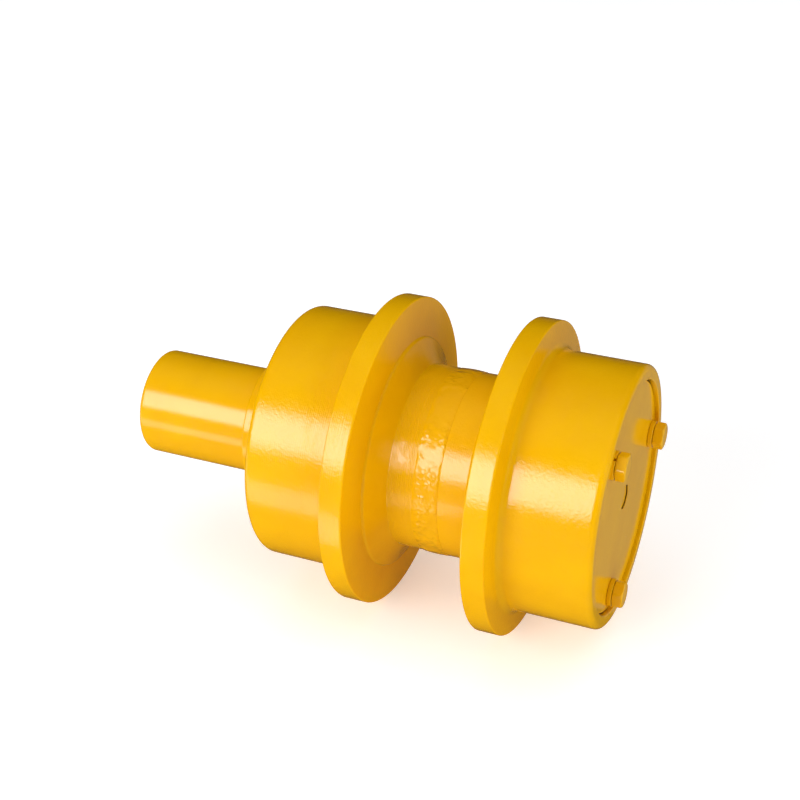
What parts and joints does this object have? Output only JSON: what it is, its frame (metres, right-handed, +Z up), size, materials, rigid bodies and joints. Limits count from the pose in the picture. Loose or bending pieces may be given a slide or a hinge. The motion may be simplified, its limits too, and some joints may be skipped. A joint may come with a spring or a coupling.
{
  "type": "track carrier roller",
  "caption": "Double-flanged track carrier roller: a steel shell with two treads spins on tapered roller bearings on a cantilevered stub shaft, with a bolted end cover.",
  "frame": {"origin": "centre of the stub's flat end face, on the spin axis", "axes": "+Y along the spin axis from the stub to the bolted cover, +Z up as it is mounted, +X sideways, along the track"},
  "size_m": [0.23, 0.3811, 0.23],
  "materials": {
    "shaft_paint": "gloss yellow enamel over a turned steel bar",
    "seal_collar_paint": "gloss yellow enamel over a turned steel ring",
    "shell_paint": "thick gloss yellow enamel over forged and machined steel",
    "weld_paint": "gloss yellow enamel over a dressed weld",
    "cover_paint": "gloss yellow enamel over a machined steel disc",
    "fastener_paint": "gloss yellow enamel over steel fasteners",
    "bearing_steel": "ground and hardened, oiled",
    "machined_steel": "turned",
    "pressed_steel": "pressed sheet",
    "spring_steel": "dark tempered",
    "seal_iron": "cast, with a lapped face",
    "toric_rubber": "smooth",
    "o_ring_rubber": "smooth"
  },
  "bodies": {
    "shaft_group": {"shaft": "shaft_paint", "seal_collar": "seal_collar_paint", "collar_o_ring": "o_ring_rubber", "stationary_seal_ring": "seal_iron", "stationary_toric": "toric_rubber", "inboard_bearing_cone": "bearing_steel", "outboard_bearing_cone": "bearing_steel", "lock_washer": "spring_steel", "bearing_nut": "machined_steel"},
    "roller": {"inboard_shell_half": "shell_paint", "outboard_shell_half": "shell_paint", "weld_bead": "weld_paint", "seal_housing": "machined_steel", "housing_o_ring": "o_ring_rubber", "housing_snap_ring": "spring_steel", "rotating_seal_ring": "seal_iron", "rotating_toric": "toric_rubber", "inboard_bearing_cup": "bearing_steel", "outboard_bearing_cup": "bearing_steel", "end_cover": "cover_paint", "cover_o_ring": "o_ring_rubber", "cover_bolt_1": "fastener_paint", "cover_bolt_2": "fastener_paint", "cover_bolt_3": "fastener_paint", "cover_spring_washer_1": "fastener_paint", "cover_spring_washer_2": "fastener_paint", "cover_spring_washer_3": "fastener_paint", "filler_plug": "cover_paint"},
    "inboard_cage": {"inboard_bearing_cage": "pressed_steel"},
    "inboard_roller_01": {"inboard_roller_01": "bearing_steel"},
    "inboard_roller_02": {"inboard_roller_02": "bearing_steel"},
    "inboard_roller_03": {"inboard_roller_03": "bearing_steel"},
    "inboard_roller_04": {"inboard_roller_04": "bearing_steel"},
    "inboard_roller_05": {"inboard_roller_05": "bearing_steel"},
    "inboard_roller_06": {"inboard_roller_06": "bearing_steel"},
    "inboard_roller_07": {"inboard_roller_07": "bearing_steel"},
    "inboard_roller_08": {"inboard_roller_08": "bearing_steel"},
    "inboard_roller_09": {"inboard_roller_09": "bearing_steel"},
    "inboard_roller_10": {"inboard_roller_10": "bearing_steel"},
    "inboard_roller_11": {"inboard_roller_11": "bearing_steel"},
    "inboard_roller_12": {"inboard_roller_12": "bearing_steel"},
    "inboard_roller_13": {"inboard_roller_13": "bearing_steel"},
    "inboard_roller_14": {"inboard_roller_14": "bearing_steel"},
    "outboard_cage": {"outboard_bearing_cage": "pressed_steel"},
    "outboard_roller_01": {"outboard_roller_01": "bearing_steel"},
    "outboard_roller_02": {"outboard_roller_02": "bearing_steel"},
    "outboard_roller_03": {"outboard_roller_03": "bearing_steel"},
    "outboard_roller_04": {"outboard_roller_04": "bearing_steel"},
    "outboard_roller_05": {"outboard_roller_05": "bearing_steel"},
    "outboard_roller_06": {"outboard_roller_06": "bearing_steel"},
    "outboard_roller_07": {"outboard_roller_07": "bearing_steel"},
    "outboard_roller_08": {"outboard_roller_08": "bearing_steel"},
    "outboard_roller_09": {"outboard_roller_09": "bearing_steel"},
    "outboard_roller_10": {"outboard_roller_10": "bearing_steel"},
    "outboard_roller_11": {"outboard_roller_11": "bearing_steel"},
    "outboard_roller_12": {"outboard_roller_12": "bearing_steel"},
    "outboard_roller_13": {"outboard_roller_13": "bearing_steel"},
    "outboard_roller_14": {"outboard_roller_14": "bearing_steel"}
  },
  "joints": [
    {"name": "roller_spin", "type": "hinge", "parent": "shaft_group", "child": "roller", "pos_m": [0, 0.2455, 0], "axis": [0, 1, 0], "continuous": true},
    {"name": "inboard_cage_spin", "type": "hinge", "parent": "shaft_group", "child": "inboard_cage", "pos_m": [0, 0.167, 0], "axis": [0, 1, 0], "continuous": true},
    {"name": "inboard_roller_01_spin", "type": "hinge", "parent": "inboard_cage", "child": "inboard_roller_01", "pos_m": [0, 0.1667, 0.05125], "axis": [0, 0.9744, -0.225], "continuous": true},
    {"name": "inboard_roller_02_spin", "type": "hinge", "parent": "inboard_cage", "child": "inboard_roller_02", "pos_m": [-0.02224, 0.1667, 0.04617], "axis": [0.0976, 0.9744, -0.2027], "continuous": true},
    {"name": "inboard_roller_03_spin", "type": "hinge", "parent": "inboard_cage", "child": "inboard_roller_03", "pos_m": [-0.04007, 0.1667, 0.03195], "axis": [0.1759, 0.9744, -0.1403], "continuous": true},
    {"name": "inboard_roller_04_spin", "type": "hinge", "parent": "inboard_cage", "child": "inboard_roller_04", "pos_m": [-0.04997, 0.1667, 0.0114], "axis": [0.2193, 0.9744, -0.0501], "continuous": true},
    {"name": "inboard_roller_05_spin", "type": "hinge", "parent": "inboard_cage", "child": "inboard_roller_05", "pos_m": [-0.04997, 0.1667, -0.0114], "axis": [0.2193, 0.9744, 0.0501], "continuous": true},
    {"name": "inboard_roller_06_spin", "type": "hinge", "parent": "inboard_cage", "child": "inboard_roller_06", "pos_m": [-0.04007, 0.1667, -0.03195], "axis": [0.1759, 0.9744, 0.1403], "continuous": true},
    {"name": "inboard_roller_07_spin", "type": "hinge", "parent": "inboard_cage", "child": "inboard_roller_07", "pos_m": [-0.02224, 0.1667, -0.04617], "axis": [0.0976, 0.9744, 0.2027], "continuous": true},
    {"name": "inboard_roller_08_spin", "type": "hinge", "parent": "inboard_cage", "child": "inboard_roller_08", "pos_m": [0, 0.1667, -0.05125], "axis": [0, 0.9744, 0.225], "continuous": true},
    {"name": "inboard_roller_09_spin", "type": "hinge", "parent": "inboard_cage", "child": "inboard_roller_09", "pos_m": [0.02224, 0.1667, -0.04617], "axis": [-0.0976, 0.9744, 0.2027], "continuous": true},
    {"name": "inboard_roller_10_spin", "type": "hinge", "parent": "inboard_cage", "child": "inboard_roller_10", "pos_m": [0.04007, 0.1667, -0.03195], "axis": [-0.1759, 0.9744, 0.1403], "continuous": true},
    {"name": "inboard_roller_11_spin", "type": "hinge", "parent": "inboard_cage", "child": "inboard_roller_11", "pos_m": [0.04997, 0.1667, -0.0114], "axis": [-0.2193, 0.9744, 0.0501], "continuous": true},
    {"name": "inboard_roller_12_spin", "type": "hinge", "parent": "inboard_cage", "child": "inboard_roller_12", "pos_m": [0.04997, 0.1667, 0.0114], "axis": [-0.2193, 0.9744, -0.0501], "continuous": true},
    {"name": "inboard_roller_13_spin", "type": "hinge", "parent": "inboard_cage", "child": "inboard_roller_13", "pos_m": [0.04007, 0.1667, 0.03195], "axis": [-0.1759, 0.9744, -0.1403], "continuous": true},
    {"name": "inboard_roller_14_spin", "type": "hinge", "parent": "inboard_cage", "child": "inboard_roller_14", "pos_m": [0.02224, 0.1667, 0.04617], "axis": [-0.0976, 0.9744, -0.2027], "continuous": true},
    {"name": "outboard_cage_spin", "type": "hinge", "parent": "shaft_group", "child": "outboard_cage", "pos_m": [0, 0.324, 0], "axis": [0, 1, 0], "continuous": true},
    {"name": "outboard_roller_01_spin", "type": "hinge", "parent": "outboard_cage", "child": "outboard_roller_01", "pos_m": [0, 0.3243, 0.04625], "axis": [0, 0.9744, 0.225], "continuous": true},
    {"name": "outboard_roller_02_spin", "type": "hinge", "parent": "outboard_cage", "child": "outboard_roller_02", "pos_m": [0.02007, 0.3243, 0.04167], "axis": [0.0976, 0.9744, 0.2027], "continuous": true},
    {"name": "outboard_roller_03_spin", "type": "hinge", "parent": "outboard_cage", "child": "outboard_roller_03", "pos_m": [0.03616, 0.3243, 0.02884], "axis": [0.1759, 0.9744, 0.1403], "continuous": true},
    {"name": "outboard_roller_04_spin", "type": "hinge", "parent": "outboard_cage", "child": "outboard_roller_04", "pos_m": [0.04509, 0.3243, 0.01029], "axis": [0.2193, 0.9744, 0.0501], "continuous": true},
    {"name": "outboard_roller_05_spin", "type": "hinge", "parent": "outboard_cage", "child": "outboard_roller_05", "pos_m": [0.04509, 0.3243, -0.01029], "axis": [0.2193, 0.9744, -0.0501], "continuous": true},
    {"name": "outboard_roller_06_spin", "type": "hinge", "parent": "outboard_cage", "child": "outboard_roller_06", "pos_m": [0.03616, 0.3243, -0.02884], "axis": [0.1759, 0.9744, -0.1403], "continuous": true},
    {"name": "outboard_roller_07_spin", "type": "hinge", "parent": "outboard_cage", "child": "outboard_roller_07", "pos_m": [0.02007, 0.3243, -0.04167], "axis": [0.0976, 0.9744, -0.2027], "continuous": true},
    {"name": "outboard_roller_08_spin", "type": "hinge", "parent": "outboard_cage", "child": "outboard_roller_08", "pos_m": [0, 0.3243, -0.04625], "axis": [0, 0.9744, -0.225], "continuous": true},
    {"name": "outboard_roller_09_spin", "type": "hinge", "parent": "outboard_cage", "child": "outboard_roller_09", "pos_m": [-0.02007, 0.3243, -0.04167], "axis": [-0.0976, 0.9744, -0.2027], "continuous": true},
    {"name": "outboard_roller_10_spin", "type": "hinge", "parent": "outboard_cage", "child": "outboard_roller_10", "pos_m": [-0.03616, 0.3243, -0.02884], "axis": [-0.1759, 0.9744, -0.1403], "continuous": true},
    {"name": "outboard_roller_11_spin", "type": "hinge", "parent": "outboard_cage", "child": "outboard_roller_11", "pos_m": [-0.04509, 0.3243, -0.01029], "axis": [-0.2193, 0.9744, -0.0501], "continuous": true},
    {"name": "outboard_roller_12_spin", "type": "hinge", "parent": "outboard_cage", "child": "outboard_roller_12", "pos_m": [-0.04509, 0.3243, 0.01029], "axis": [-0.2193, 0.9744, 0.0501], "continuous": true},
    {"name": "outboard_roller_13_spin", "type": "hinge", "parent": "outboard_cage", "child": "outboard_roller_13", "pos_m": [-0.03616, 0.3243, 0.02884], "axis": [-0.1759, 0.9744, 0.1403], "continuous": true},
    {"name": "outboard_roller_14_spin", "type": "hinge", "parent": "outboard_cage", "child": "outboard_roller_14", "pos_m": [-0.02007, 0.3243, 0.04167], "axis": [-0.0976, 0.9744, 0.2027], "continuous": true}
  ],
  "couplings": [
    {"joint": "inboard_cage_spin", "follows": "roller_spin", "ratio": 0.58033},
    {"joint": "inboard_roller_01_spin", "follows": "roller_spin", "ratio": 2.9543},
    {"joint": "inboard_roller_02_spin", "follows": "roller_spin", "ratio": 2.9543},
    {"joint": "inboard_roller_03_spin", "follows": "roller_spin", "ratio": 2.9543},
    {"joint": "inboard_roller_04_spin", "follows": "roller_spin", "ratio": 2.9543},
    {"joint": "inboard_roller_05_spin", "follows": "roller_spin", "ratio": 2.9543},
    {"joint": "inboard_roller_06_spin", "follows": "roller_spin", "ratio": 2.9543},
    {"joint": "inboard_roller_07_spin", "follows": "roller_spin", "ratio": 2.9543},
    {"joint": "inboard_roller_08_spin", "follows": "roller_spin", "ratio": 2.9543},
    {"joint": "inboard_roller_09_spin", "follows": "roller_spin", "ratio": 2.9543},
    {"joint": "inboard_roller_10_spin", "follows": "roller_spin", "ratio": 2.9543},
    {"joint": "inboard_roller_11_spin", "follows": "roller_spin", "ratio": 2.9543},
    {"joint": "inboard_roller_12_spin", "follows": "roller_spin", "ratio": 2.9543},
    {"joint": "inboard_roller_13_spin", "follows": "roller_spin", "ratio": 2.9543},
    {"joint": "inboard_roller_14_spin", "follows": "roller_spin", "ratio": 2.9543},
    {"joint": "outboard_cage_spin", "follows": "roller_spin", "ratio": 0.58734},
    {"joint": "outboard_roller_01_spin", "follows": "roller_spin", "ratio": 2.7039},
    {"joint": "outboard_roller_02_spin", "follows": "roller_spin", "ratio": 2.7039},
    {"joint": "outboard_roller_03_spin", "follows": "roller_spin", "ratio": 2.7039},
    {"joint": "outboard_roller_04_spin", "follows": "roller_spin", "ratio": 2.7039},
    {"joint": "outboard_roller_05_spin", "follows": "roller_spin", "ratio": 2.7039},
    {"joint": "outboard_roller_06_spin", "follows": "roller_spin", "ratio": 2.7039},
    {"joint": "outboard_roller_07_spin", "follows": "roller_spin", "ratio": 2.7039},
    {"joint": "outboard_roller_08_spin", "follows": "roller_spin", "ratio": 2.7039},
    {"joint": "outboard_roller_09_spin", "follows": "roller_spin", "ratio": 2.7039},
    {"joint": "outboard_roller_10_spin", "follows": "roller_spin", "ratio": 2.7039},
    {"joint": "outboard_roller_11_spin", "follows": "roller_spin", "ratio": 2.7039},
    {"joint": "outboard_roller_12_spin", "follows": "roller_spin", "ratio": 2.7039},
    {"joint": "outboard_roller_13_spin", "follows": "roller_spin", "ratio": 2.7039},
    {"joint": "outboard_roller_14_spin", "follows": "roller_spin", "ratio": 2.7039}
  ]
}
